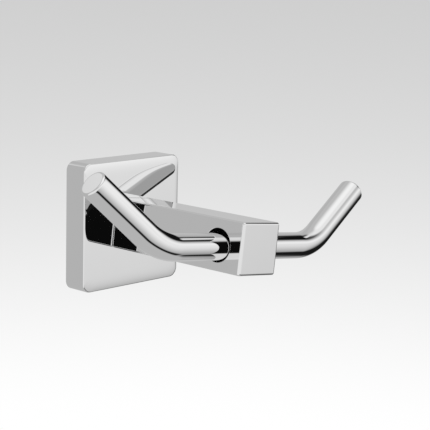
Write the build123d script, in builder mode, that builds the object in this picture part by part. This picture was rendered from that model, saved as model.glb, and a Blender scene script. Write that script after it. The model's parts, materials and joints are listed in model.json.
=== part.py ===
"""Double clothes hook for a wall: a square cover plate, a square arm and a bent cross rod.

The wall is the plane Y = 0 and the hook reaches out along -Y, with +X to the right and +Z up.
The origin is the middle of the plate's back. Lengths are millimetres and angles degrees.
"""

import os
from math import cos, radians, sin

from build123d import *

os.makedirs("parts", exist_ok=True)

# Cover plate: a hollow casting with rounded corners and a softened front edge
plate_side = 50.0
plate_depth = 10.5
plate_corner = 3.5
plate_edge = 1.2
plate_wall = 2.5
plate_face = 3.0

# Arm: a square bar that stands on the plate, turned a little about its own length
arm_side = 19.5
arm_length = 67.0
arm_edge = 1.0
arm_foot_edge = 0.4
arm_turn = 6.8

# Hook rod: a round bar through the arm, with both ends bent up and leaning to the wall
rod_diameter = 10.0
rod_reach = 40.5
rod_leg = 36.5
rod_rise = 36.5
rod_lean = 12.5
rod_bend = 24.0
rod_rim = 0.8

# Cross bore: wider than the rod, which its set screw presses forward and a little down
bore_diameter = 12.4
bore_setback = 12.0
bore_drop = 0.25
bore_edge = 0.3
rod_rest = 18.4

# Wall bracket: a casting whose top and bottom edges slope in towards the wall
bracket_width = 38.0
bracket_height = 35.0
bracket_depth = 5.5
bracket_slope = 3.0
bracket_opening = 14.0
wall_hole_diameter = 4.5
wall_hole_head = 8.6
wall_hole_spacing = 26.0

# Lip that hangs the plate on the bracket, and the room to lift it on
lip_width = 24.0
lip_back = 0.6
lip_front = 3.6
lift_room = 3.2

# Screw that holds the arm to the plate, with its washer
arm_screw_diameter = 6.0
arm_screw_head = 10.0
arm_screw_head_height = 4.0
arm_screw_key = 4.0
arm_screw_key_depth = 2.2
arm_thread_depth = 12.0
washer_diameter = 12.0
washer_thickness = 1.5

# Grub screw under the plate and set screw inside the arm
grub_diameter = 4.0
grub_depth = 3.0
grub_point = 0.4
grub_key = 2.0
grub_boss = 9.0
set_length = 8.0
set_key = 3.0
key_depth = 2.0
screw_recess = 0.5

# Clearances
thread_gap = 0.1
screw_hole_gap = 0.2
seat_gap = 0.1

# Places that several pieces share
cavity_side = plate_side - 2 * plate_wall
cavity_depth = plate_depth - plate_face
cavity_corner = max(plate_corner - plate_wall, plate_wall / 4)
rod_radius = rod_diameter / 2
bore_radius = bore_diameter / 2
rod_room = bore_radius - rod_radius - seat_gap
rod_forward = rod_room * cos(radians(rod_rest))
rod_drop = rod_room * sin(radians(rod_rest))

wall = Plane.XZ
arm_seat = wall.rotated((0, arm_turn, 0)).offset(plate_depth)
bore_middle = arm_seat.offset(arm_length - bore_setback)
bore_centre = Plane(bore_middle.location * Pos(Y=-bore_drop))
bore_side = Plane(
    origin=bore_centre.from_local_coords((arm_side / 2, 0, 0)),
    x_dir=bore_centre.y_dir,
    z_dir=bore_centre.x_dir,
)
plate_underside = Plane(
    origin=wall.from_local_coords((0, -plate_side / 2, grub_depth)),
    x_dir=wall.x_dir,
    z_dir=-wall.y_dir,
)
rod_plane = Plane(bore_centre.location * Pos(Y=-rod_drop, Z=rod_forward) * Rot(X=-rod_lean))
set_point = bore_middle.offset(rod_forward - rod_radius - seat_gap)


def bracket_edge(depth):
    """Height of the bracket's sloped edge above its middle, at a depth from the wall."""
    return bracket_height / 2 - bracket_slope * (1 - depth / bracket_depth)


# Cover plate
lip_root = plate_side / 2 - plate_wall / 2
boss_top = bracket_height / 2 + lift_room

with BuildPart() as wall_plate:
    with BuildSketch(wall):
        RectangleRounded(plate_side, plate_side, plate_corner)
    extrude(amount=plate_depth)
    fillet(wall_plate.faces().sort_by(Axis.Y)[0].edges(), plate_edge)
    with BuildSketch(wall):
        RectangleRounded(cavity_side, cavity_side, cavity_corner)
    extrude(amount=cavity_depth, mode=Mode.SUBTRACT)
    with BuildSketch(Plane.YZ.offset(-lip_width / 2)):
        with BuildLine():
            Polyline(
                (-lip_back, bracket_edge(lip_back) + seat_gap),
                (-lip_front, bracket_edge(lip_front) + seat_gap),
                (-lip_front, lip_root),
                (-lip_back, lip_root),
                close=True,
            )
        make_face()
    extrude(amount=lip_width)
    with BuildSketch(plate_underside.offset(-plate_wall / 2)):
        with Locations((0, (lip_back + cavity_depth) / 2 - grub_depth)):
            Rectangle(grub_boss, cavity_depth - lip_back)
    extrude(amount=boss_top - plate_side / 2 + plate_wall / 2)
    with Locations(plate_underside):
        Hole(grub_diameter / 2 + thread_gap, depth=plate_side / 2 - bracket_height / 2)
    with Locations(wall.offset(plate_depth)):
        Hole(arm_screw_diameter / 2 + screw_hole_gap, depth=plate_face)
wall_plate.part.label = "wall_plate"
export_step(wall_plate.part, "parts/wall_plate.step")

# Wall bracket
with BuildPart() as wall_bracket:
    with BuildSketch(Plane.YZ.offset(-bracket_width / 2)):
        with BuildLine():
            Polyline(
                (0, bracket_edge(0)),
                (-bracket_depth, bracket_edge(bracket_depth)),
                (-bracket_depth, -bracket_edge(bracket_depth)),
                (0, -bracket_edge(0)),
                close=True,
            )
        make_face()
    extrude(amount=bracket_width)
    with Locations(wall.offset(bracket_depth)):
        Hole(bracket_opening / 2)
        with GridLocations(wall_hole_spacing, 0, 2, 1):
            CounterSinkHole(wall_hole_diameter / 2, wall_hole_head / 2, counter_sink_angle=90)
wall_bracket.part.label = "wall_bracket"
export_step(wall_bracket.part, "parts/wall_bracket.step")

# Arm
with BuildPart() as arm:
    with BuildSketch(arm_seat):
        Rectangle(arm_side, arm_side)
    extrude(amount=arm_length)
    fillet(arm.edges().group_by(Axis.Y)[:-1], arm_edge)
    chamfer(arm.faces().sort_by(Axis.Y)[-1].edges(), arm_foot_edge)
    with Locations(bore_side):
        Hole(bore_radius)
    chamfer(arm.edges().filter_by(GeomType.CIRCLE).group_by(SortBy.RADIUS)[-1], bore_edge)
    with Locations(Plane(arm_seat.location * Rot(X=180))):
        Hole(arm_screw_diameter / 2 + thread_gap, depth=arm_length - bore_setback)
arm.part.label = "arm"
export_step(arm.part, "parts/arm.step")

# Hook rod
end_across = rod_reach + rod_leg * cos(radians(rod_rise))
end_height = rod_leg * sin(radians(rod_rise))

with BuildPart() as hook_rod:
    with BuildLine(rod_plane) as rod_path:
        FilletPolyline(
            (-end_across, end_height),
            (-rod_reach, 0),
            (rod_reach, 0),
            (end_across, end_height),
            radius=rod_bend,
        )
    with BuildSketch(Plane(origin=rod_path.line @ 0, z_dir=rod_path.line % 0)):
        Circle(rod_radius)
    sweep(path=rod_path.line)
    fillet(hook_rod.faces().filter_by(GeomType.PLANE).edges(), rod_rim)
hook_rod.part.label = "hook_rod"
export_step(hook_rod.part, "parts/hook_rod.step")

# Screw and washer behind the plate's face
washer_back = cavity_depth - washer_thickness

with BuildPart() as arm_washer:
    with BuildSketch(wall.offset(washer_back)):
        Circle(washer_diameter / 2)
        Circle(arm_screw_diameter / 2 + screw_hole_gap, mode=Mode.SUBTRACT)
    extrude(amount=washer_thickness)
arm_washer.part.label = "arm_washer"
export_step(arm_washer.part, "parts/arm_washer.step")

with BuildPart() as arm_screw:
    with BuildSketch(wall.offset(washer_back - arm_screw_head_height)):
        Circle(arm_screw_head / 2)
    extrude(amount=arm_screw_head_height)
    with BuildSketch(wall.offset(washer_back)):
        Circle(arm_screw_diameter / 2)
    extrude(amount=washer_thickness + plate_face + arm_thread_depth)
    with BuildSketch(wall.offset(washer_back - arm_screw_head_height)):
        RegularPolygon(arm_screw_key / 2, 6, major_radius=False)
    extrude(amount=arm_screw_key_depth, mode=Mode.SUBTRACT)
arm_screw.part.label = "arm_screw"
export_step(arm_screw.part, "parts/arm_screw.step")

# Grub screw under the plate, with its cone against the bracket's lower slope
grub_reach = plate_side / 2 - bracket_edge(grub_depth + grub_point) - seat_gap
grub_cone = grub_diameter / 2 - grub_point

with BuildPart() as plate_grub_screw:
    with BuildSketch(plate_underside.offset(-screw_recess)):
        Circle(grub_diameter / 2)
    extrude(amount=screw_recess - grub_reach)
    chamfer(plate_grub_screw.faces().sort_by(Axis.Z)[-1].edges(), grub_cone)
    with BuildSketch(plate_underside.offset(-screw_recess)):
        RegularPolygon(grub_key / 2, 6, major_radius=False)
    extrude(amount=-key_depth, mode=Mode.SUBTRACT)
plate_grub_screw.part.label = "plate_grub_screw"
export_step(plate_grub_screw.part, "parts/plate_grub_screw.step")

# Set screw inside the arm, with its flat point against the back of the rod
with BuildPart() as rod_set_screw:
    with BuildSketch(set_point):
        Circle(arm_screw_diameter / 2)
    extrude(amount=-set_length)
    with BuildSketch(set_point.offset(-set_length)):
        RegularPolygon(set_key / 2, 6, major_radius=False)
    extrude(amount=key_depth, mode=Mode.SUBTRACT)
rod_set_screw.part.label = "rod_set_screw"
export_step(rod_set_screw.part, "parts/rod_set_screw.step")
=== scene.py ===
"""Looks of the clothes hook: a chromed plate, arm and bent rod, in a plain pale studio.

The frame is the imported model's: the wall is the plane Y = 0, the hook reaches out along -Y, +X is to
the right and +Z is up. Lengths are metres and angles degrees, unless a name says otherwise.
"""

import json
from math import cos, pi, radians, sin, tan

import bmesh
import bpy
from mathutils import Matrix, Vector


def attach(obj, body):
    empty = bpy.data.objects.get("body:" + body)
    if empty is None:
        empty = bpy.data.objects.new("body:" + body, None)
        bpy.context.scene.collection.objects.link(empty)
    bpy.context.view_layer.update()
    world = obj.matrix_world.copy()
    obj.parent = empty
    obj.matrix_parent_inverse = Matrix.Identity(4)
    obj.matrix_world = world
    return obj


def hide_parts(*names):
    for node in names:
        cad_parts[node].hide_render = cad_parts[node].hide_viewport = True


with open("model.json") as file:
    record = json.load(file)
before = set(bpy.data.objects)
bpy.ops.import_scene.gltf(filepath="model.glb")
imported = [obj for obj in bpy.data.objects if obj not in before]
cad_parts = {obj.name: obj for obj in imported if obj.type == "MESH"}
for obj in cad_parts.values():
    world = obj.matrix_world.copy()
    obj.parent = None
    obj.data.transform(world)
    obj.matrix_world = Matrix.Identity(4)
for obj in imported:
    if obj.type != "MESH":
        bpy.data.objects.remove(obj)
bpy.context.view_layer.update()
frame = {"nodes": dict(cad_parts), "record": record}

# Cover plate: hollow, with rounded corners and a face that buffing has rolled off towards its edges
plate_side = 0.050
plate_depth = 0.0105
plate_corner = 0.0035
plate_wall = 0.0025
plate_cavity = 0.0075
plate_cavity_corner = 0.001
plate_edge = 0.0005
buff_width = 0.009
buff_side_width = 0.0035
buff_tilt = 12.0
buff_power = 5.3
buff_corner_growth = 0.5
lip_width = 0.024
lip_back = 0.0006
lip_front = 0.0036
boss_width = 0.009
boss_top = 0.0207
boss_sunk = 0.0005
grub_radius = 0.002
grub_depth = 0.003

# Wall bracket, behind the plate
bracket_width = 0.038
bracket_height = 0.035
bracket_depth = 0.0055
bracket_slope = 0.003
bracket_round = 0.0005
bracket_opening = 0.007
wall_hole_radius = 0.00225
wall_hole_head = 0.0043
wall_hole_spacing = 0.026
seat_gap = 0.0001

# Arm: a square bar, turned a little on the plate, with a cross bore that is wider than the rod
arm_side = 0.0195
arm_length = 0.067
arm_turn = 6.8
arm_edge = 0.001
arm_foot_edge = 0.0008
bore_radius = 0.0062
bore_setback = 0.012
bore_drop = 0.00025
bore_edge = 0.0003
arm_screw_radius = 0.003
thread_gap = 0.0001
screw_hole_gap = 0.0002

# Hook rod: a round bar with both ends bent up, leaning to the wall
rod_radius = 0.005
rod_rim = 0.0008
rod_reach = 0.0405
rod_leg = 0.0365
rod_rise = 36.5
rod_lean = 12.5
rod_bend = 0.024
rod_forward = 0.00104
rod_drop = 0.00035

# Screws: the arm's screw, the grub screw under the plate and the set screw behind the rod
arm_screw_back = 0.002
arm_screw_length = 0.0205
arm_screw_head = 0.005
arm_screw_head_height = 0.004
arm_screw_key = 0.004
arm_screw_key_depth = 0.0022
coarse_pitch = 0.001
fine_pitch = 0.0007
thread_slope = 1.2
rows_per_pitch = 8
screw_sides = 40
screw_head_rows = 6
screw_head_edge = 0.0003
headless_collar = 0.0012
blunt_point = 0.0007
grub_start = -0.0245
grub_length = 0.008045
grub_point = 0.0004
grub_cone = 0.0016
grub_key = 0.002
set_back = -0.053444
set_length = 0.008
set_key = 0.003
key_depth = 0.002

# Drills pass a face by the overshoot; points this near are one point, and edges this straight one edge
overshoot = 0.001
seam_distance = 1e-6
weld_distance = 2e-6
straight_within = 1.0

# Faces that turn by more than this meet in a sharp edge
chrome_crease = 40.0
bracket_crease = 30.0
screw_crease = 35.0

# Colours of the metals, the near-black painted shade in the arm's cross bore, and how dull the hidden
# hollows are
chrome_light = (0.885, 0.885, 0.885)
chrome_shade = (0.865, 0.865, 0.867)
# Near-black painted shade on the wall of the arm's cross bore, standing in for the shadow inside it
bore_painted_shade = (0.02, 0.02, 0.021)
hollow_grey = (0.56, 0.57, 0.58)
hollow_roughness = 0.5
cast_light = (0.66, 0.67, 0.68)
cast_shade = (0.5, 0.51, 0.52)
cast_pit = (0.3, 0.3, 0.31)
steel_light = (0.6, 0.61, 0.63)
steel_shade = (0.42, 0.43, 0.45)

# Camera, from the perspective of the photograph
image_pixels = 430
focal_pixels = 1430
camera_azimuth = -46.6
camera_elevation = 10.3
camera_roll = 1.44
camera_distance = 0.56711
camera_right = 0.03986
camera_up = 0.00143

# Backdrop: a round floor that sweeps up into a wall, lit by its own painted glow that is brighter low down
# and dimmer higher up
floor_level = -0.3
floor_radius = 2.5
cove_radius = 1.0
wall_height = 3.0
# Painted light on the floor: its glow dims between these angles, seen from this height, from the first
# level to the second
floor_glow_height = 0.1
floor_glow_angles = (-32.0, 5.0)
floor_glow_levels = (1.0, 0.59)


def place(tree, kind, inputs=None, **settings):
    """Add a node, set its own settings, and fill its inputs with values or other nodes' sockets."""
    node = tree.nodes.new(kind)
    for name, value in settings.items():
        setattr(node, name, value)
    for name, value in (inputs or {}).items():
        socket = node.inputs[name]
        if isinstance(value, bpy.types.NodeSocket):
            tree.links.new(value, socket)
        else:
            socket.default_value = value
    return node


def calc(tree, operation, *values):
    """Add a Math node and return its result."""
    return place(tree, "ShaderNodeMath", dict(enumerate(values)), operation=operation).outputs[0]


def in_degrees(tree, angle):
    """Turn an angle from radians into degrees."""
    return calc(tree, "MULTIPLY", angle, 180 / pi)


def vector_calc(tree, operation, *values):
    """Add a Vector Math node and return its result."""
    node = place(tree, "ShaderNodeVectorMath", dict(enumerate(values)), operation=operation)
    return node.outputs["Value" if operation in ("LENGTH", "DOT_PRODUCT") else "Vector"]


def ramp(tree, value, low, high, start=0.0, end=1.0):
    """Pass smoothly from start to end as value goes from low to high."""
    inputs = {"Value": value, "From Min": low, "From Max": high, "To Min": start, "To Max": end}
    return place(tree, "ShaderNodeMapRange", inputs, interpolation_type="SMOOTHSTEP").outputs["Result"]


def blend(tree, share, below, above):
    """Mix two brightnesses by a share."""
    inputs = {"Factor": share, "A": below, "B": above}
    return place(tree, "ShaderNodeMix", inputs).outputs["Result"]


def new_group(name, kind, inputs, outputs):
    """Start a node group with named sockets, and return it with its input and output nodes."""
    group = bpy.data.node_groups.new(name, kind)
    for socket, socket_type in inputs.items():
        group.interface.new_socket(socket, in_out="INPUT", socket_type=socket_type)
    for socket, socket_type in outputs.items():
        group.interface.new_socket(socket, in_out="OUTPUT", socket_type=socket_type)
    return group, group.nodes.new("NodeGroupInput"), group.nodes.new("NodeGroupOutput")


# Finishes
def polish_marks():
    """Group that gives the fine wiping lines and slow waves of a polished metal surface."""
    inputs = {"Line Scale": "NodeSocketFloat", "Wave Scale": "NodeSocketFloat"}
    outputs = {"Lines": "NodeSocketFloat", "Waves": "NodeSocketFloat"}
    group, given, result = new_group("polish_marks", "ShaderNodeTree", inputs, outputs)
    where = place(group, "ShaderNodeTexCoord").outputs["Object"]
    along = place(group, "ShaderNodeMapping", {"Vector": where, "Scale": (1.0, 0.06, 1.0)}).outputs[0]
    line_inputs = {"Vector": along, "Scale": given.outputs["Line Scale"], "Detail": 6.0}
    wave_inputs = {"Vector": where, "Scale": given.outputs["Wave Scale"], "Detail": 2.0}
    lines = place(group, "ShaderNodeTexNoise", line_inputs)
    waves = place(group, "ShaderNodeTexNoise", wave_inputs)
    group.links.new(lines.outputs["Fac"], result.inputs["Lines"])
    group.links.new(waves.outputs["Fac"], result.inputs["Waves"])
    return group


def cast_grain():
    """Group that gives the grain and the small pits of a rough casting."""
    inputs = {"Grain Scale": "NodeSocketFloat", "Pit Scale": "NodeSocketFloat"}
    outputs = {"Grain": "NodeSocketFloat", "Pits": "NodeSocketFloat"}
    group, given, result = new_group("cast_grain", "ShaderNodeTree", inputs, outputs)
    where = place(group, "ShaderNodeTexCoord").outputs["Object"]
    grain_inputs = {"Vector": where, "Scale": given.outputs["Grain Scale"]}
    grain_inputs |= {"Detail": 5.0, "Roughness": 0.65}
    pit_inputs = {"Vector": where, "Scale": given.outputs["Pit Scale"]}
    grain = place(group, "ShaderNodeTexNoise", grain_inputs)
    cells = place(group, "ShaderNodeTexVoronoi", pit_inputs)
    pits = ramp(group, cells.outputs["Distance"], 0.05, 0.22, 1.0, 0.0)
    group.links.new(grain.outputs["Fac"], result.inputs["Grain"])
    group.links.new(pits, result.inputs["Pits"])
    return group


def tinted(tree, share, colour, other):
    """Mix two colours by a share."""
    mix = place(tree, "ShaderNodeMix", data_type="RGBA")
    tree.links.new(share, mix.inputs["Factor"])
    sockets = [socket for socket in mix.inputs if socket.type == "RGBA"]
    for socket, value in zip(sockets, (colour, other)):
        if isinstance(value, bpy.types.NodeSocket):
            tree.links.new(value, socket)
        else:
            socket.default_value = (*value, 1.0)
    return next(socket for socket in mix.outputs if socket.type == "RGBA")


def new_metal(name):
    """Start a metal material, and return it with its node tree and its shader."""
    material = bpy.data.materials.new(name)
    material.use_nodes = True
    shader = material.node_tree.nodes["Principled BSDF"]
    shader.inputs["Metallic"].default_value = 1.0
    return material, material.node_tree, shader


def finish(tree, shader, colour, gloss, height, strength, distance):
    """Join a colour, a roughness and a relief to a shader."""
    relief = {"Height": height, "Strength": strength, "Distance": distance}
    surface = place(tree, "ShaderNodeBump", relief)
    tree.links.new(colour, shader.inputs["Base Color"])
    tree.links.new(gloss, shader.inputs["Roughness"])
    tree.links.new(surface.outputs[0], shader.inputs["Normal"])


def in_bore(tree):
    """Share that is 1 on the wall of the arm's cross bore and 0 elsewhere; it marks where the painted
    shade goes.
    """
    where = place(tree, "ShaderNodeTexCoord").outputs["Object"]
    turn = radians(arm_turn)
    up = Vector((sin(turn), 0.0, cos(turn)))
    offset = Vector((0.0, bore_setback - plate_depth - arm_length, 0.0)) - up * bore_drop
    axis = (cos(turn), 0.0, -sin(turn))
    from_middle = vector_calc(tree, "SUBTRACT", where, offset)
    away = vector_calc(tree, "LENGTH", vector_calc(tree, "CROSS_PRODUCT", from_middle, axis))
    return ramp(tree, away, bore_radius + bore_edge / 4, bore_radius + bore_edge / 2, 1.0, 0.0)


def in_plate(tree):
    """Share that is 1 inside the plate's hollow and 0 elsewhere."""
    where = place(tree, "ShaderNodeTexCoord").outputs["Object"]
    x, y, z = place(tree, "ShaderNodeSeparateXYZ", {0: where}).outputs
    edge = plate_side / 2 - plate_wall
    outer = calc(tree, "MAXIMUM", calc(tree, "ABSOLUTE", x), calc(tree, "ABSOLUTE", z))
    within = ramp(tree, outer, edge + seat_gap, edge + 2 * seat_gap, 1.0, 0.0)
    behind = ramp(tree, y, -plate_cavity - 2 * seat_gap, -plate_cavity - seat_gap)
    return calc(tree, "MULTIPLY", within, behind)


def chrome(name, hidden=None, hollow_colour_or_painted_shade=None):
    """Polished chrome with faint wiping lines; a hidden hollow, given by its share, is dull and takes its
    own colour, which in the arm's bore is painted shade.
    """
    material, tree, shader = new_metal(name)
    marked = place(tree, "ShaderNodeGroup", node_tree=polished)
    marked.inputs["Line Scale"].default_value = 900.0
    marked.inputs["Wave Scale"].default_value = 60.0
    colour = tinted(tree, marked.outputs["Waves"], chrome_light, chrome_shade)
    gloss = ramp(tree, marked.outputs["Lines"], 0.3, 0.8, 0.006, 0.016)
    if hidden:
        hollow_or_painted_shade = hidden(tree)
        # In the arm's bore this colour is painted shade; in the plate's hollow it is the plain grey metal
        colour = tinted(tree, hollow_or_painted_shade, colour, hollow_colour_or_painted_shade)
        gloss = blend(tree, hollow_or_painted_shade, gloss, hollow_roughness)
    finish(tree, shader, colour, gloss, marked.outputs["Lines"], strength=0.02, distance=1e-5)
    return material


def cast_metal(name):
    """Plain casting, satin from tumbling, with grain and small pits."""
    material, tree, shader = new_metal(name)
    marked = place(tree, "ShaderNodeGroup", node_tree=cast)
    marked.inputs["Grain Scale"].default_value = 1400.0
    marked.inputs["Pit Scale"].default_value = 900.0
    colour = tinted(tree, marked.outputs["Grain"], cast_light, cast_shade)
    colour = tinted(tree, marked.outputs["Pits"], colour, cast_pit)
    gloss = ramp(tree, marked.outputs["Grain"], 0.3, 0.7, 0.34, 0.52)
    height = calc(tree, "MULTIPLY_ADD", marked.outputs["Pits"], -0.8, marked.outputs["Grain"])
    finish(tree, shader, colour, gloss, height, strength=0.35, distance=4e-5)
    return material


def screw_metal(name):
    """Plain steel with drawn lines and darker, oily patches."""
    material, tree, shader = new_metal(name)
    marked = place(tree, "ShaderNodeGroup", node_tree=polished)
    marked.inputs["Line Scale"].default_value = 2600.0
    marked.inputs["Wave Scale"].default_value = 420.0
    colour = tinted(tree, marked.outputs["Waves"], steel_light, steel_shade)
    gloss = ramp(tree, marked.outputs["Lines"], 0.3, 0.75, 0.2, 0.36)
    finish(tree, shader, colour, gloss, marked.outputs["Lines"], strength=0.25, distance=1e-5)
    return material


polished = polish_marks()
cast = cast_grain()
finishes = {
    "polished_chrome": chrome("polished_chrome"),
    "bracket_metal": cast_metal("bracket_metal"),
    "screw_steel": screw_metal("screw_steel"),
}
# The arm's bore wall gets painted shade, near black
arm_chrome = chrome("arm_chrome", in_bore, bore_painted_shade)
plate_chrome = chrome("plate_chrome", in_plate, hollow_grey)
for subpart in frame["record"]["subparts"]:
    node = frame["nodes"][subpart["node"]]
    node.data.materials[0] = finishes[subpart["material_slot"]]


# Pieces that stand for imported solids
def new_object(name, data):
    """Put a mesh or a camera in the scene as an object."""
    item = bpy.data.objects.new(name, data)
    bpy.context.scene.collection.objects.link(item)
    return item


def set_in(name, mesh, node, slot, material=None):
    """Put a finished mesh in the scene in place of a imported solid."""
    piece = new_object(name, mesh)
    mesh.materials.clear()
    mesh.materials.append(material or finishes[slot])
    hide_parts(node)
    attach(piece, "root")


def plain_mesh(blank):
    """Turn an object with its modifiers into a plain mesh, and take the object away."""
    depsgraph = bpy.context.evaluated_depsgraph_get()
    mesh = bpy.data.meshes.new_from_object(blank.evaluated_get(depsgraph), depsgraph=depsgraph)
    bpy.data.objects.remove(blank)
    return mesh


def loft(name, rings, closed):
    """Mesh of rings that all have the same number of points: closed on itself, or capped at both ends."""
    count = len(rings[0])
    points = [point for ring in rings for point in ring]
    faces = []
    for row in range(len(rings) if closed else len(rings) - 1):
        here, there = row * count, (row + 1) % len(rings) * count
        for step in range(count):
            after = (step + 1) % count
            faces.append((here + step, here + after, there + after, there + step))
    if not closed:
        faces.append(tuple(reversed(range(count))))
        faces.append(tuple(range(len(points) - count, len(points))))
    mesh = bpy.data.meshes.new(name)
    mesh.from_pydata(points, [], faces)
    shape = bmesh.new()
    shape.from_mesh(mesh)
    bmesh.ops.recalc_face_normals(shape, faces=shape.faces)
    shape.to_mesh(mesh)
    shape.free()
    return mesh


def turned(name, profile, place_at, sides=96):
    """Mesh turned on a lathe: a profile of (height, radius) about the Z axis, then put in its place."""
    rings = []
    for height, radius in profile:
        angles = [2 * pi * side / sides for side in range(sides)]
        rings.append([(radius * cos(angle), radius * sin(angle), height) for angle in angles])
    mesh = loft(name, rings, closed=False)
    mesh.transform(place_at)
    return mesh


def cut(blank, tool_mesh, operation="DIFFERENCE"):
    """Cut a tool out of a work object, or join it on, and return the new work object."""
    tool = new_object("tool", tool_mesh)
    step = blank.modifiers.new("cut", "BOOLEAN")
    step.operation = operation
    step.solver = "EXACT"
    step.object = tool
    mesh = plain_mesh(blank)
    bpy.data.objects.remove(tool)
    return new_object("blank", mesh)


def weld(mesh):
    """Join points that a cut has left on top of each other, and drop those that only split an edge."""
    shape = bmesh.new()
    shape.from_mesh(mesh)
    bmesh.ops.remove_doubles(shape, verts=shape.verts, dist=weld_distance)
    on_edges = [point for point in shape.verts if len(point.link_edges) == 2]
    spare = [point for point in on_edges if point.calc_edge_angle(pi) < radians(straight_within)]
    bmesh.ops.dissolve_verts(shape, verts=spare)
    shape.to_mesh(mesh)
    shape.free()


def smooth(mesh):
    """Shade all of a mesh smooth."""
    mesh.polygons.foreach_set("use_smooth", [True] * len(mesh.polygons))


def soften(mesh, crease):
    """Shade a mesh smooth, with sharp edges where its faces turn by more than a crease."""
    smooth(mesh)
    mesh.set_sharp_from_angle(angle=radians(crease))


def bracket_edge(depth):
    """Height of the bracket's sloped edge above its middle, at a depth from the wall."""
    return bracket_height / 2 - bracket_slope * (1 - depth / bracket_depth)


def prism(profile, half_width):
    """Mesh of a profile of (depth, height) drawn out sideways."""
    rings = []
    for side in (-half_width, half_width):
        rings.append([(side, -depth, height) for depth, height in profile])
    return loft("prism", rings, closed=False)


# Cover plate
def level(depth):
    """Depth in front of the wall that is the same all round a ring."""
    return lambda facing: depth


def plate_ring(half, corner, depth, side_steps=12, corner_steps=16):
    """Points of a rounded square, at a depth in front of the wall for each way that its edge faces."""
    ring = []
    for quarter in range(4):
        facing = quarter * pi / 2
        turn = Matrix.Rotation(facing, 2)
        for step in range(side_steps):
            ring.append((turn @ Vector((half, (half - corner) * (2 * step / side_steps - 1))), facing))
        for step in range(corner_steps):
            angle = pi / 2 * step / corner_steps
            middle = Vector((half - corner, half - corner))
            ring.append((turn @ (middle + corner * Vector((cos(angle), sin(angle)))), facing + angle))
    return [(point.x, -depth(facing), point.y) for point, facing in ring]


def plate_mesh():
    """Hollow plate with its buffed face, hanging lip and screw boss."""
    half = plate_side / 2
    hole = arm_screw_radius + screw_hole_gap
    tilt = radians(buff_tilt)
    edge_end = plate_edge * (1 - sin(tilt))

    def buffed(inset, below=0.0):
        """Depth at an inset from the outline; the face rolls off wider towards its top and bottom."""
        def depth(facing):
            width = buff_side_width + (buff_width - buff_side_width) * sin(facing) ** 2
            left = max(0.0, 1 - (inset - edge_end) / width)
            return plate_depth - width * tan(tilt) / buff_power * left ** buff_power - below
        return depth

    wall_end = plate_depth - buff_width * tan(tilt) / buff_power - 2 * plate_edge
    profile = [(0.0, level(0.0)), (0.0, level(wall_end / 2)), (0.0, level(wall_end))]
    edge_steps = 10
    for step in range(edge_steps + 1):
        angle = (pi / 2 - tilt) * step / edge_steps
        below = plate_edge * (cos(tilt) - sin(angle))
        profile.append((plate_edge * (1 - cos(angle)), buffed(edge_end, below)))
    buff_steps, crowding = 36, 1.5
    for step in range(1, buff_steps + 1):
        inset = edge_end + buff_width * (step / buff_steps) ** crowding
        profile.append((inset, buffed(inset)))
    rings = []
    for inset, depth in profile:
        rings.append(plate_ring(half - inset, plate_corner + buff_corner_growth * inset, depth))
    flat_half = half - edge_end - buff_width
    flat_corner = plate_corner + buff_corner_growth * (edge_end + buff_width)
    flat_steps = 5
    for step in range(1, flat_steps + 1):
        share = step / flat_steps
        rings.append(plate_ring(
            flat_half + (hole - flat_half) * share,
            flat_corner + (hole - flat_corner) * share,
            level(plate_depth),
        ))
    cavity_half = half - plate_wall
    rings.append(plate_ring(hole, hole, level(plate_cavity)))
    rings.append(plate_ring(cavity_half, plate_cavity_corner, level(plate_cavity)))
    rings.append(plate_ring(cavity_half, plate_cavity_corner, level(0.0)))
    blank = new_object("blank", loft("wall_plate", rings, closed=True))

    def lip_edge(depth):
        """Height of the lip's edge, a gap above the bracket's."""
        return bracket_edge(depth) + seat_gap

    root = half - plate_wall / 2
    lip = [(lip_back, lip_edge(lip_back)), (lip_front, lip_edge(lip_front))]
    lip += [(lip_front, root), (lip_back, root)]
    blank = cut(blank, prism(lip, lip_width / 2), "UNION")
    boss_end = plate_cavity + boss_sunk
    boss = [(lip_back, -root), (boss_end, -root), (boss_end, -boss_top), (lip_back, -boss_top)]
    blank = cut(blank, prism(boss, boss_width / 2), "UNION")
    drill = grub_radius + thread_gap
    hole_profile = [(-half - overshoot, drill), (-bracket_height / 2, drill)]
    blank = cut(blank, turned("drill", hole_profile, Matrix.Translation((0, -grub_depth, 0)), sides=48))
    mesh = plain_mesh(blank)
    weld(mesh)
    soften(mesh, chrome_crease)
    return mesh


set_in("plate_cover", plate_mesh(), "wall_plate", "polished_chrome", plate_chrome)


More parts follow.
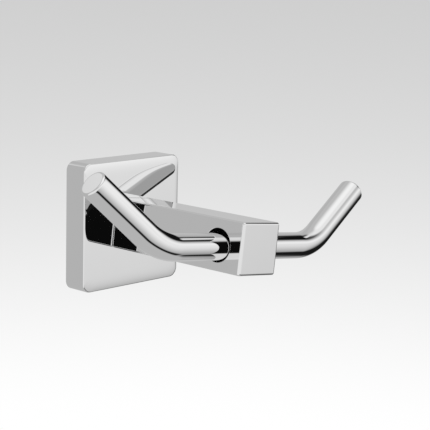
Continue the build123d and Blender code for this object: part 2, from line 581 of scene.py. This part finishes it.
# Arm
def arm_mesh():
    """Square bar with rounded edges, its cross bore and the long screw hole from its foot."""
    half = arm_side / 2
    square = [(half, half), (-half, half), (-half, -half), (half, -half)]
    foot, front = -plate_depth, -plate_depth - arm_length
    rings = [[(x, y, z) for x, z in square] for y in (foot, front)]
    blank = new_object("blank", loft("arm", rings, closed=False))
    bore_at = Vector((0, front + bore_setback, -bore_drop))
    outside = half + overshoot
    across = Matrix.Translation(bore_at) @ Matrix.Rotation(pi / 2, 4, "Y")
    bore = [(-outside, bore_radius), (outside, bore_radius)]
    blank = cut(blank, turned("bore", bore, across, sides=128))
    screw_hole = arm_screw_radius + thread_gap
    lengthwise = Matrix.Translation((0, foot, 0)) @ Matrix.Rotation(pi / 2, 4, "X")
    drill = [(-overshoot, screw_hole), (arm_length - bore_setback, screw_hole)]
    blank = cut(blank, turned("screw_hole", drill, lengthwise, sides=64))
    mesh = blank.data
    weights = mesh.attributes.new("bevel_weight_edge", "FLOAT", "EDGE")
    tiny = 1e-6
    for edge in mesh.edges:
        ends = [mesh.vertices[index].co for index in edge.vertices]
        middle = (ends[0] + ends[1]) / 2
        at_x = abs(abs(middle.x) - half) < tiny
        at_z = abs(abs(middle.z) - half) < tiny
        at_front = all(abs(end.y - front) < tiny for end in ends)
        at_foot = all(abs(end.y - foot) < tiny for end in ends)
        at_mouth = all(abs((end.yz - bore_at.yz).length - bore_radius) < tiny for end in ends)
        if at_foot and (at_x or at_z):
            weights.data[edge.index].value = arm_foot_edge / arm_edge
        elif at_x + at_z + at_front == 2:
            weights.data[edge.index].value = 1.0
        elif at_x and at_mouth:
            weights.data[edge.index].value = bore_edge / arm_edge
    soften(mesh, chrome_crease)
    rounding = blank.modifiers.new("rounding", "BEVEL")
    rounding.limit_method = "WEIGHT"
    rounding.width = arm_edge
    rounding.segments = 8
    rounding.harden_normals = True
    rounding.use_clamp_overlap = False
    result = plain_mesh(blank)
    result.transform(Matrix.Rotation(radians(arm_turn), 4, "Y"))
    return result


set_in("arm_bar", arm_mesh(), "arm", "polished_chrome", arm_chrome)


# Hook rod
def rod_tree():
    """Geometry Nodes tree of a bar bent up at both ends, with a rounded rim at each end face."""
    inputs = dict.fromkeys(("Reach", "Leg", "Rise", "Bend", "Radius", "Rim"), "NodeSocketFloat")
    inputs |= dict.fromkeys(("Rows", "Rim Rows", "Bend Rows", "Sides"), "NodeSocketInt")
    inputs["Finish"] = "NodeSocketMaterial"
    tree, given, result = new_group("bent_rod", "GeometryNodeTree", inputs, {"Rod": "NodeSocketGeometry"})
    size = given.outputs

    def line(value, low, high):
        """Share that goes from 0 to 1 as value goes from low to high."""
        limits = {"Value": value, "From Min": low, "From Max": high}
        return place(tree, "ShaderNodeMapRange", limits).outputs["Result"]

    reach = size["Reach"]
    across = calc(tree, "MULTIPLY_ADD", size["Leg"], calc(tree, "COSINE", size["Rise"]), reach)
    height = calc(tree, "MULTIPLY", size["Leg"], calc(tree, "SINE", size["Rise"]))
    corners = []
    stops = ((-1.0, across, height), (-1.0, reach, 0.0), (1.0, reach, 0.0), (1.0, across, height))
    for side, out, up in stops:
        spot = {"X": calc(tree, "MULTIPLY", out, side), "Z": up}
        corners.append(place(tree, "ShaderNodeCombineXYZ", spot).outputs[0])
    route = place(
        tree,
        "GeometryNodeCurvePrimitiveQuadrilateral",
        {f"Point {number}": corner for number, corner in enumerate(corners, 1)},
        mode="POINTS",
    )
    route = place(tree, "GeometryNodeSetSplineCyclic", {"Geometry": route.outputs[0], "Cyclic": False})
    route = place(
        tree,
        "GeometryNodeFilletCurve",
        {"Curve": route.outputs[0], "Count": size["Bend Rows"], "Radius": size["Bend"]},
        mode="POLY",
    )
    length = place(tree, "GeometryNodeCurveLength", {"Curve": route.outputs[0]}).outputs[0]

    number = place(tree, "GeometryNodeInputIndex").outputs[0]
    last = calc(tree, "SUBTRACT", size["Rows"], 1.0)
    to_last = calc(tree, "SUBTRACT", last, number)
    first_turn = calc(tree, "MULTIPLY", line(number, 0.0, size["Rim Rows"]), pi / 2)
    last_turn = calc(tree, "MULTIPLY", line(to_last, 0.0, size["Rim Rows"]), pi / 2)
    middle = line(number, size["Rim Rows"], calc(tree, "SUBTRACT", last, size["Rim Rows"]))
    body_length = calc(tree, "SUBTRACT", length, calc(tree, "MULTIPLY", size["Rim"], 2.0))
    first_rim = calc(tree, "SUBTRACT", 1.0, calc(tree, "COSINE", first_turn))
    station = calc(tree, "MULTIPLY", size["Rim"], first_rim)
    station = calc(tree, "MULTIPLY_ADD", middle, body_length, station)
    station = calc(tree, "MULTIPLY_ADD", size["Rim"], calc(tree, "COSINE", last_turn), station)
    rounding = calc(tree, "MINIMUM", calc(tree, "SINE", first_turn), calc(tree, "SINE", last_turn))
    thickness = calc(tree, "SUBTRACT", size["Radius"], size["Rim"])
    thickness = calc(tree, "MULTIPLY_ADD", size["Rim"], rounding, thickness)

    rows = place(tree, "GeometryNodeMeshLine", {"Count": size["Rows"]})
    along = {"Curves": route.outputs[0], "Length": station}
    spot = place(tree, "GeometryNodeSampleCurve", along, mode="LENGTH").outputs["Position"]
    rows = place(tree, "GeometryNodeSetPosition", {"Geometry": rows.outputs[0], "Position": spot})
    rows = place(tree, "GeometryNodeMeshToCurve", {"Mesh": rows.outputs[0]})
    section = place(tree, "GeometryNodeCurvePrimitiveCircle", {"Resolution": size["Sides"], "Radius": 1.0})
    skin = {"Curve": rows.outputs[0], "Profile Curve": section.outputs[0]}
    skin |= {"Scale": thickness, "Fill Caps": True}
    bar = place(tree, "GeometryNodeCurveToMesh", skin)
    # The end faces have many corners, and stay flat
    corner_count = place(tree, "GeometryNodeInputMeshFaceNeighbors").outputs["Vertex Count"]
    wall = calc(tree, "LESS_THAN", corner_count, 5.0)
    bar = place(tree, "GeometryNodeSetShadeSmooth", {"Geometry": bar.outputs[0], "Shade Smooth": wall})
    bar = place(tree, "GeometryNodeRealizeInstances", {"Geometry": bar.outputs[0]})
    bar = place(tree, "GeometryNodeSetMaterial", {"Geometry": bar.outputs[0], "Material": size["Finish"]})
    tree.links.new(bar.outputs[0], result.inputs[0])
    return tree


def grown(name, tree, sizes):
    """Run a Geometry Nodes tree with its named sizes and return a plain mesh."""
    blank = new_object(name, bpy.data.meshes.new(name))
    step = blank.modifiers.new(name, "NODES")
    step.node_group = tree
    for socket in tree.interface.items_tree:
        if socket.in_out == "INPUT":
            step[socket.identifier] = sizes[socket.name]
    return plain_mesh(blank)


def rod_mesh():
    """Hook rod in its place through the arm's bore."""
    sizes = {
        "Reach": rod_reach,
        "Leg": rod_leg,
        "Rise": radians(rod_rise),
        "Bend": rod_bend,
        "Radius": rod_radius,
        "Rim": rod_rim,
        "Rows": 225,
        "Rim Rows": 12,
        "Bend Rows": 96,
        "Sides": 96,
        "Finish": finishes["polished_chrome"],
    }
    mesh = grown("hook_rod", rod_tree(), sizes)
    reach = bore_setback - plate_depth - arm_length - rod_forward
    seat = Matrix.Translation((0, reach, -bore_drop - rod_drop))
    turn, lean = Matrix.Rotation(radians(arm_turn), 4, "Y"), Matrix.Rotation(radians(-rod_lean), 4, "X")
    mesh.transform(turn @ seat @ lean)
    return mesh


set_in("bent_rod", rod_mesh(), "hook_rod", "polished_chrome")


# Wall bracket
def bracket_mesh():
    """Casting with sloped top and bottom edges, a middle opening and two countersunk screw holes."""
    back, front = bracket_edge(0.0), bracket_edge(bracket_depth)
    profile = [(0.0, back), (bracket_depth, front), (bracket_depth, -front), (0.0, -back)]
    blank = new_object("blank", prism(profile, bracket_width / 2))
    beyond = bracket_depth + overshoot
    outwards = Matrix.Rotation(pi / 2, 4, "X")
    opening = [(-overshoot, bracket_opening), (beyond, bracket_opening)]
    blank = cut(blank, turned("opening", opening, outwards))
    head_start = bracket_depth - (wall_hole_head - wall_hole_radius)
    head_beyond = wall_hole_head + overshoot
    hole = [(-overshoot, wall_hole_radius), (head_start, wall_hole_radius), (beyond, head_beyond)]
    for side in (-wall_hole_spacing / 2, wall_hole_spacing / 2):
        hole_at = Matrix.Translation((side, 0, 0)) @ outwards
        blank = cut(blank, turned("wall_hole", hole, hole_at, sides=64))
    soften(blank.data, bracket_crease)
    rounding = blank.modifiers.new("rounding", "BEVEL")
    rounding.limit_method = "ANGLE"
    rounding.angle_limit = radians(bracket_crease)
    rounding.width = bracket_round
    rounding.segments = 3
    rounding.harden_normals = True
    rounding.use_clamp_overlap = False
    return plain_mesh(blank)


set_in("bracket_casting", bracket_mesh(), "wall_bracket", "bracket_metal")


# Screws
def screw_tree():
    """Geometry Nodes tree of a socket screw along +Z: head, threaded shank, coned point and key socket."""
    lengths = ("Radius", "Length", "Pitch", "Point Radius", "Point Length")
    lengths += ("Head Radius", "Head Height", "Head Edge", "Key", "Key Depth")
    inputs = dict.fromkeys(lengths, "NodeSocketFloat")
    inputs |= {"Rows": "NodeSocketInt", "Sides": "NodeSocketInt", "Finish": "NodeSocketMaterial"}
    outputs = {"Screw": "NodeSocketGeometry"}
    tree, given, result = new_group("socket_screw", "GeometryNodeTree", inputs, outputs)
    size = given.outputs

    def math(operation, *values):
        return calc(tree, operation, *values)

    def turned_grid(rows, shape):
        """Grid rolled up about Z; shape gives a radius and a height for each turn and row."""
        columns = math("ADD", size["Sides"], 1.0)
        sheet = {"Size X": 1.0, "Size Y": 1.0, "Vertices X": columns, "Vertices Y": rows}
        grid = place(tree, "GeometryNodeMeshGrid", sheet)
        spot = place(tree, "GeometryNodeInputPosition").outputs[0]
        sheet_x, sheet_y, _ = place(tree, "ShaderNodeSeparateXYZ", {0: spot}).outputs
        turn = math("ADD", sheet_x, 0.5)
        last = math("SUBTRACT", rows, 1.0)
        row = math("ROUND", math("MULTIPLY", math("ADD", sheet_y, 0.5), last))
        radius, height = shape(turn, row, last)
        angle = math("MULTIPLY", turn, 2 * pi)
        side = {"X": math("MULTIPLY", radius, math("COSINE", angle)), "Z": height}
        side["Y"] = math("MULTIPLY", radius, math("SINE", angle))
        point = place(tree, "ShaderNodeCombineXYZ", side).outputs[0]
        moved = place(tree, "GeometryNodeSetPosition", {"Geometry": grid.outputs[0], "Position": point})
        seam = {"Geometry": moved.outputs[0], "Distance": seam_distance}
        return place(tree, "GeometryNodeMergeByDistance", seam).outputs[0]

    def shank(turn, row, last):
        """Thread that ends in a cone, closed by a pole at each end."""
        inside = math("MULTIPLY", size["Head Height"], 0.5)
        span = {"Value": row, "From Min": 1.0, "From Max": math("SUBTRACT", last, 1.0)}
        span |= {"To Min": inside, "To Max": size["Length"]}
        height = place(tree, "ShaderNodeMapRange", span).outputs["Result"]
        wave = math("PINGPONG", math("SUBTRACT", math("DIVIDE", height, size["Pitch"]), turn), 0.5)
        thread = math("MULTIPLY_ADD", math("MULTIPLY", wave, size["Pitch"]), -thread_slope, size["Radius"])
        to_end = math("DIVIDE", math("SUBTRACT", size["Length"], height), size["Point Length"])
        widening = math("SUBTRACT", size["Radius"], size["Point Radius"])
        cone = math("MULTIPLY_ADD", to_end, widening, size["Point Radius"])
        past_first = math("GREATER_THAN", row, 0.5)
        before_last = math("LESS_THAN", row, math("SUBTRACT", last, 0.5))
        wall = math("MULTIPLY", past_first, before_last)
        return math("MULTIPLY", wall, math("MINIMUM", thread, cone)), height

    def head(turn, row, last):
        """Round head with broken edges, closed by a pole at each end."""
        step = math("MINIMUM", row, math("SUBTRACT", last, row))
        lost = math("MULTIPLY", math("SUBTRACT", 2.0, step), size["Head Edge"])
        from_pole = math("MULTIPLY", step, size["Head Radius"])
        radius = math("MINIMUM", from_pole, math("SUBTRACT", size["Head Radius"], lost))
        inset = math("MULTIPLY", math("MAXIMUM", math("SUBTRACT", step, 1.0), 0.0), size["Head Edge"])
        upper = math("GREATER_THAN", row, math("MULTIPLY", last, 0.5))
        room = math("SUBTRACT", size["Head Height"], math("MULTIPLY", inset, 2.0))
        return radius, math("MULTIPLY_ADD", upper, room, inset)

    whole = place(tree, "GeometryNodeMeshBoolean", operation="UNION", solver="EXACT")
    for solid in (turned_grid(size["Rows"], shank), turned_grid(screw_head_rows, head)):
        tree.links.new(solid, whole.inputs["Mesh 2"])
    flats_to_radius = 1 / 3 ** 0.5
    hexagon = {"Vertices": 6, "Radius": math("MULTIPLY", size["Key"], flats_to_radius)}
    hexagon["Depth"] = math("MULTIPLY", size["Key Depth"], 2.0)
    key = place(tree, "GeometryNodeMeshCylinder", hexagon)
    solids = {"Mesh 1": whole.outputs[0], "Mesh 2": key.outputs[0]}
    screw = place(tree, "GeometryNodeMeshBoolean", solids, operation="DIFFERENCE", solver="EXACT")
    screw = place(tree, "GeometryNodeRealizeInstances", {"Geometry": screw.outputs[0]})
    dressed = {"Geometry": screw.outputs[0], "Material": size["Finish"]}
    screw = place(tree, "GeometryNodeSetMaterial", dressed)
    tree.links.new(screw.outputs[0], result.inputs[0])
    return tree


def screw_mesh(name, place_at, radius, length, pitch, point, head, key):
    """One screw from the shared tree; point, head and key give two sizes each."""
    sizes = {
        "Radius": radius,
        "Length": length,
        "Pitch": pitch,
        "Point Radius": point[0],
        "Point Length": point[1],
        "Head Radius": head[0],
        "Head Height": head[1],
        "Head Edge": screw_head_edge,
        "Key": key[0],
        "Key Depth": key[1],
        "Rows": round(rows_per_pitch * length / pitch),
        "Sides": screw_sides,
        "Finish": finishes["screw_steel"],
    }
    mesh = grown(name, socket_screw, sizes)
    weld(mesh)
    mesh.transform(place_at)
    soften(mesh, screw_crease)
    return mesh


socket_screw = screw_tree()
towards_room = Matrix.Rotation(pi / 2, 4, "X")
blunt = (arm_screw_radius - blunt_point, blunt_point)
arm_screw_mesh = screw_mesh(
    "arm_screw",
    Matrix.Translation((0, -arm_screw_back, 0)) @ towards_room,
    arm_screw_radius,
    arm_screw_length,
    coarse_pitch,
    blunt,
    (arm_screw_head, arm_screw_head_height),
    (arm_screw_key, arm_screw_key_depth),
)
grub_mesh = screw_mesh(
    "plate_grub_screw",
    Matrix.Translation((0, -grub_depth, grub_start)),
    grub_radius,
    grub_length,
    fine_pitch,
    (grub_point, grub_cone),
    (grub_radius, headless_collar),
    (grub_key, key_depth),
)
set_mesh = screw_mesh(
    "rod_set_screw",
    Matrix.Rotation(radians(arm_turn), 4, "Y") @ Matrix.Translation((0, set_back, 0)) @ towards_room,
    arm_screw_radius,
    set_length,
    coarse_pitch,
    blunt,
    (arm_screw_radius, headless_collar),
    (set_key, key_depth),
)
set_in("arm_socket_screw", arm_screw_mesh, "arm_screw", "screw_steel")
set_in("plate_grub", grub_mesh, "plate_grub_screw", "screw_steel")
set_in("rod_grub", set_mesh, "rod_set_screw", "screw_steel")


# Studio light: what the chrome mirrors, by direction from the hook
def studio_light():
    """World of soft panels and dark cards; azimuth 0 is straight out from the wall and 90 is +X."""
    world = bpy.data.worlds.new("studio_light")
    world.use_nodes = True
    tree = world.node_tree
    tree.nodes.clear()
    heading = place(tree, "ShaderNodeTexCoord").outputs["Generated"]
    x, y, z = place(tree, "ShaderNodeSeparateXYZ", {0: heading}).outputs
    turn = calc(tree, "ARCTAN2", x, calc(tree, "MULTIPLY", y, -1.0))
    azimuth = calc(tree, "WRAP", in_degrees(tree, turn), 270.0, -90.0)
    elevation = in_degrees(tree, calc(tree, "ARCSINE", z))
    # A first reflection sees the world at depth 2, a second one at 3 and a third one at 4
    bounces = place(tree, "ShaderNodeLightPath").outputs["Ray Depth"]
    seen_once = calc(tree, "LESS_THAN", bounces, 2.5)
    seen_again = calc(tree, "SUBTRACT", 1.0, seen_once)
    seen_thrice = calc(tree, "GREATER_THAN", bounces, 3.5)

    def sideways(low, high, start=0.0, end=1.0):
        """Pass from start to end between two azimuths."""
        return ramp(tree, azimuth, low, high, start, end)

    def upwards(low, high, start=0.0, end=1.0):
        """Pass from start to end between two elevations."""
        return ramp(tree, elevation, low, high, start, end)

    def between(value, low, high, soft):
        """Share that is 1 from low to high, with soft ends."""
        rise = ramp(tree, value, low - soft, low + soft)
        fall = ramp(tree, value, high - soft, high + soft, 1.0, 0.0)
        return calc(tree, "MULTIPLY", rise, fall)

    def lay(light, brightness, *masks):
        """Lay a brightness over the light where all the masks are 1."""
        share = masks[0]
        for mask in masks[1:]:
            share = calc(tree, "MULTIPLY", share, mask)
        return blend(tree, share, light, brightness)

    def panel(light, brightness, sides, heights, *masks):
        """Lay a panel; its sides and its heights are a low end, a high end and a softness each."""
        return lay(light, brightness, between(azimuth, *sides), between(elevation, *heights), *masks)

    def disc(middle, radius, soft):
        """Share that is 1 within a radius of a direction."""
        side, up = radians(middle[0]), radians(middle[1])
        aim = (sin(side) * cos(up), -cos(side) * cos(up), sin(up))
        near = vector_calc(tree, "DOT_PRODUCT", heading, aim)
        away = in_degrees(tree, calc(tree, "ARCCOSINE", near))
        return ramp(tree, away, radius - soft, radius + soft, 1.0, 0.0)

    # Overhead light, dimmer to the right and towards the wall
    towards_wall = ramp(tree, y, -0.1, 0.5, 1.0, 0.52)
    overhead = blend(tree, upwards(56.0, 68.0), sideways(70.0, 108.0, 0.89, 0.55), towards_wall)
    overhead = lay(overhead, 1.0, between(azimuth, 182.0, 300.0, 8.0), upwards(56.0, 72.0))
    gap = calc(tree, "ADD", sideways(38.0, 63.0, 0.58, 0.07), sideways(93.0, 107.0, 0.0, 0.43))
    light = blend(tree, upwards(36.0, 47.0), gap, overhead)

    # Grey behind and to the right, and a lighter patch high at the back
    behind = sideways(132.0, 160.0, 0.56, 0.5)
    light = panel(light, behind, (118.0, 228.0, 6.0), (-100.0, 24.0, 6.0))
    light = panel(light, 0.78, (180.0, 196.0, 2.5), (28.0, 41.0, 2.5))
    light = panel(light, 0.85, (236.0, 272.0, 6.0), (-45.0, 24.0, 6.0))
    light = panel(light, 0.85, (-100.0, -28.0, 6.0), (-45.0, 24.0, 6.0))
    light = panel(light, 0.43, (110.0, 180.0, 6.0), (-42.0, 65.0, 4.0), seen_again)
    light = lay(light, 0.5, between(azimuth, 90.0, 120.0, 6.0), upwards(-18.0, -10.0, 1.0, 0.0))

    # Round dark card at the right
    light = lay(light, 0.006, disc((84.0, -7.0), 42.0, 1.5), upwards(-12.0, -3.0))

    # Front light, dimmer downwards, with a slanted right end
    front = blend(tree, upwards(13.0, 36.0), upwards(-50.0, 14.0, 0.4, 0.97), gap)
    shade = calc(tree, "MULTIPLY", sideways(40.0, 58.0), upwards(4.0, 16.0, 1.0, 0.0))
    front = calc(tree, "MULTIPLY", front, calc(tree, "MULTIPLY_ADD", shade, -0.17, 1.0))
    past_end = calc(tree, "SUBTRACT", azimuth, upwards(18.0, 31.0, 86.0, 62.0))
    light = lay(
        light,
        front,
        ramp(tree, past_end, -12.0, 9.0, 1.0, 0.0),
        sideways(-30.0, -26.0),
        between(elevation, -60.0, 36.0, 3.0),
    )

    # Low dark card at the right, with two light windows
    near_end = upwards(-36.0, -6.0, 56.0, 48.0), upwards(-36.0, -6.0, 62.0, 80.0)
    far_end = upwards(-44.0, -32.0, 92.0, 108.0), upwards(-44.0, -32.0, 118.0, 130.0)
    light = lay(
        light,
        0.01,
        ramp(tree, azimuth, *near_end),
        ramp(tree, azimuth, *far_end, 1.0, 0.0),
        upwards(-20.0, 12.0, 1.0, 0.0),
        upwards(-51.0, -45.5),
        seen_once,
    )
    light = panel(light, 0.82, (73.5, 86.0, 1.0), (34.0, 46.0, 1.0))
    light = panel(light, 0.64, (74.0, 116.0, 2.0), (-10.5, 5.0, 2.0))

    # Cards near the hook, which only second and third reflections see
    light = panel(light, 0.03, (48.0, 108.0, 4.0), (-44.0, -10.0, 4.0), seen_again)
    light = panel(light, 0.004, (-62.0, -21.0, 3.0), (-29.0, 38.0, 4.0), seen_again)
    for sides in ((222.0, 280.0, 3.0), (-100.0, -40.0, 3.0)):
        light = lay(light, 0.01, between(azimuth, *sides), upwards(-12.0, -3.0, 1.0, 0.0), seen_thrice)
    light = panel(light, 0.73, (148.0, 184.0, 5.0), (0.0, 64.0, 5.0), seen_thrice)

    # Dark table edge in front, and the floor below it
    light = panel(light, 0.008, (-27.0, 53.0, 4.0), (-60.0, -37.5, 3.5))
    light = lay(light, 0.51, upwards(-53.5, -47.0, 1.0, 0.0))
    sky = place(tree, "ShaderNodeBackground", {"Color": light})
    out = place(tree, "ShaderNodeOutputWorld")
    tree.links.new(sky.outputs[0], out.inputs["Surface"])
    bpy.context.scene.world = world


studio_light()


def backdrop():
    """Round pale floor that sweeps up into a wall, glowing with painted light that dims from low down to
    higher up; the hook doesn't mirror it.
    """
    profile = [(0.0, 0.0), (floor_radius, 0.0)]
    steps = 24
    for step in range(1, steps + 1):
        angle = pi / 2 * step / steps
        profile.append((floor_radius + cove_radius * sin(angle), cove_radius * (1 - cos(angle))))
    profile.append((floor_radius + cove_radius, wall_height))
    sides = 128
    points, faces = [], []
    for radius, height in profile:
        for side in range(sides):
            turn = 2 * pi * side / sides
            points.append((radius * cos(turn), radius * sin(turn), floor_level + height))
    for row in range(len(profile) - 1):
        here, there = row * sides, (row + 1) * sides
        for side in range(sides):
            after = (side + 1) % sides
            faces.append((here + side, here + after, there + after, there + side))
    mesh = bpy.data.meshes.new("backdrop")
    mesh.from_pydata(points, [], faces)
    weld(mesh)
    smooth(mesh)
    floor = new_object("backdrop", mesh)
    floor.visible_glossy = False
    floor.visible_diffuse = False
    floor.visible_shadow = False
    material = bpy.data.materials.new("glowing_floor")
    material.use_nodes = True
    tree = material.node_tree
    tree.nodes.clear()
    where = place(tree, "ShaderNodeTexCoord").outputs["Object"]
    split = place(tree, "ShaderNodeSeparateXYZ", {0: where})
    flat = place(tree, "ShaderNodeCombineXYZ", {0: split.outputs[0], 1: split.outputs[1]})
    radius = vector_calc(tree, "LENGTH", flat.outputs[0])
    rise = calc(tree, "ARCTAN2", calc(tree, "SUBTRACT", split.outputs[2], floor_glow_height), radius)
    painted_glow_level = ramp(tree, in_degrees(tree, rise), *floor_glow_angles, *floor_glow_levels)
    # The floor glows with painted light instead of being lit: brighter at low angles, dimmer higher up
    glow = place(tree, "ShaderNodeEmission", {"Color": painted_glow_level})
    out = place(tree, "ShaderNodeOutputMaterial")
    tree.links.new(glow.outputs[0], out.inputs["Surface"])
    mesh.materials.append(material)


backdrop()


def photo_camera():
    """Camera that sees the hook as the photograph does."""
    azimuth, elevation, roll = radians(camera_azimuth), radians(camera_elevation), radians(camera_roll)
    right = Vector((cos(azimuth), sin(azimuth), 0.0))
    back = Vector((sin(azimuth) * cos(elevation), -cos(azimuth) * cos(elevation), sin(elevation)))
    level_up = back.cross(right)
    turned_right = right * cos(roll) + level_up * sin(roll)
    up = level_up * cos(roll) - right * sin(roll)
    lens = bpy.data.cameras.new("photo_camera")
    lens.sensor_width = 36.0
    lens.lens = lens.sensor_width * focal_pixels / image_pixels
    lens.clip_start = 0.01
    camera = new_object("photo_camera", lens)
    spot = back * camera_distance + turned_right * camera_right + up * camera_up
    camera.matrix_world = Matrix.Translation(spot) @ Matrix((turned_right, up, back)).transposed().to_4x4()
    bpy.context.scene.camera = camera


photo_camera()
bpy.context.scene.view_settings.view_transform = "Standard"
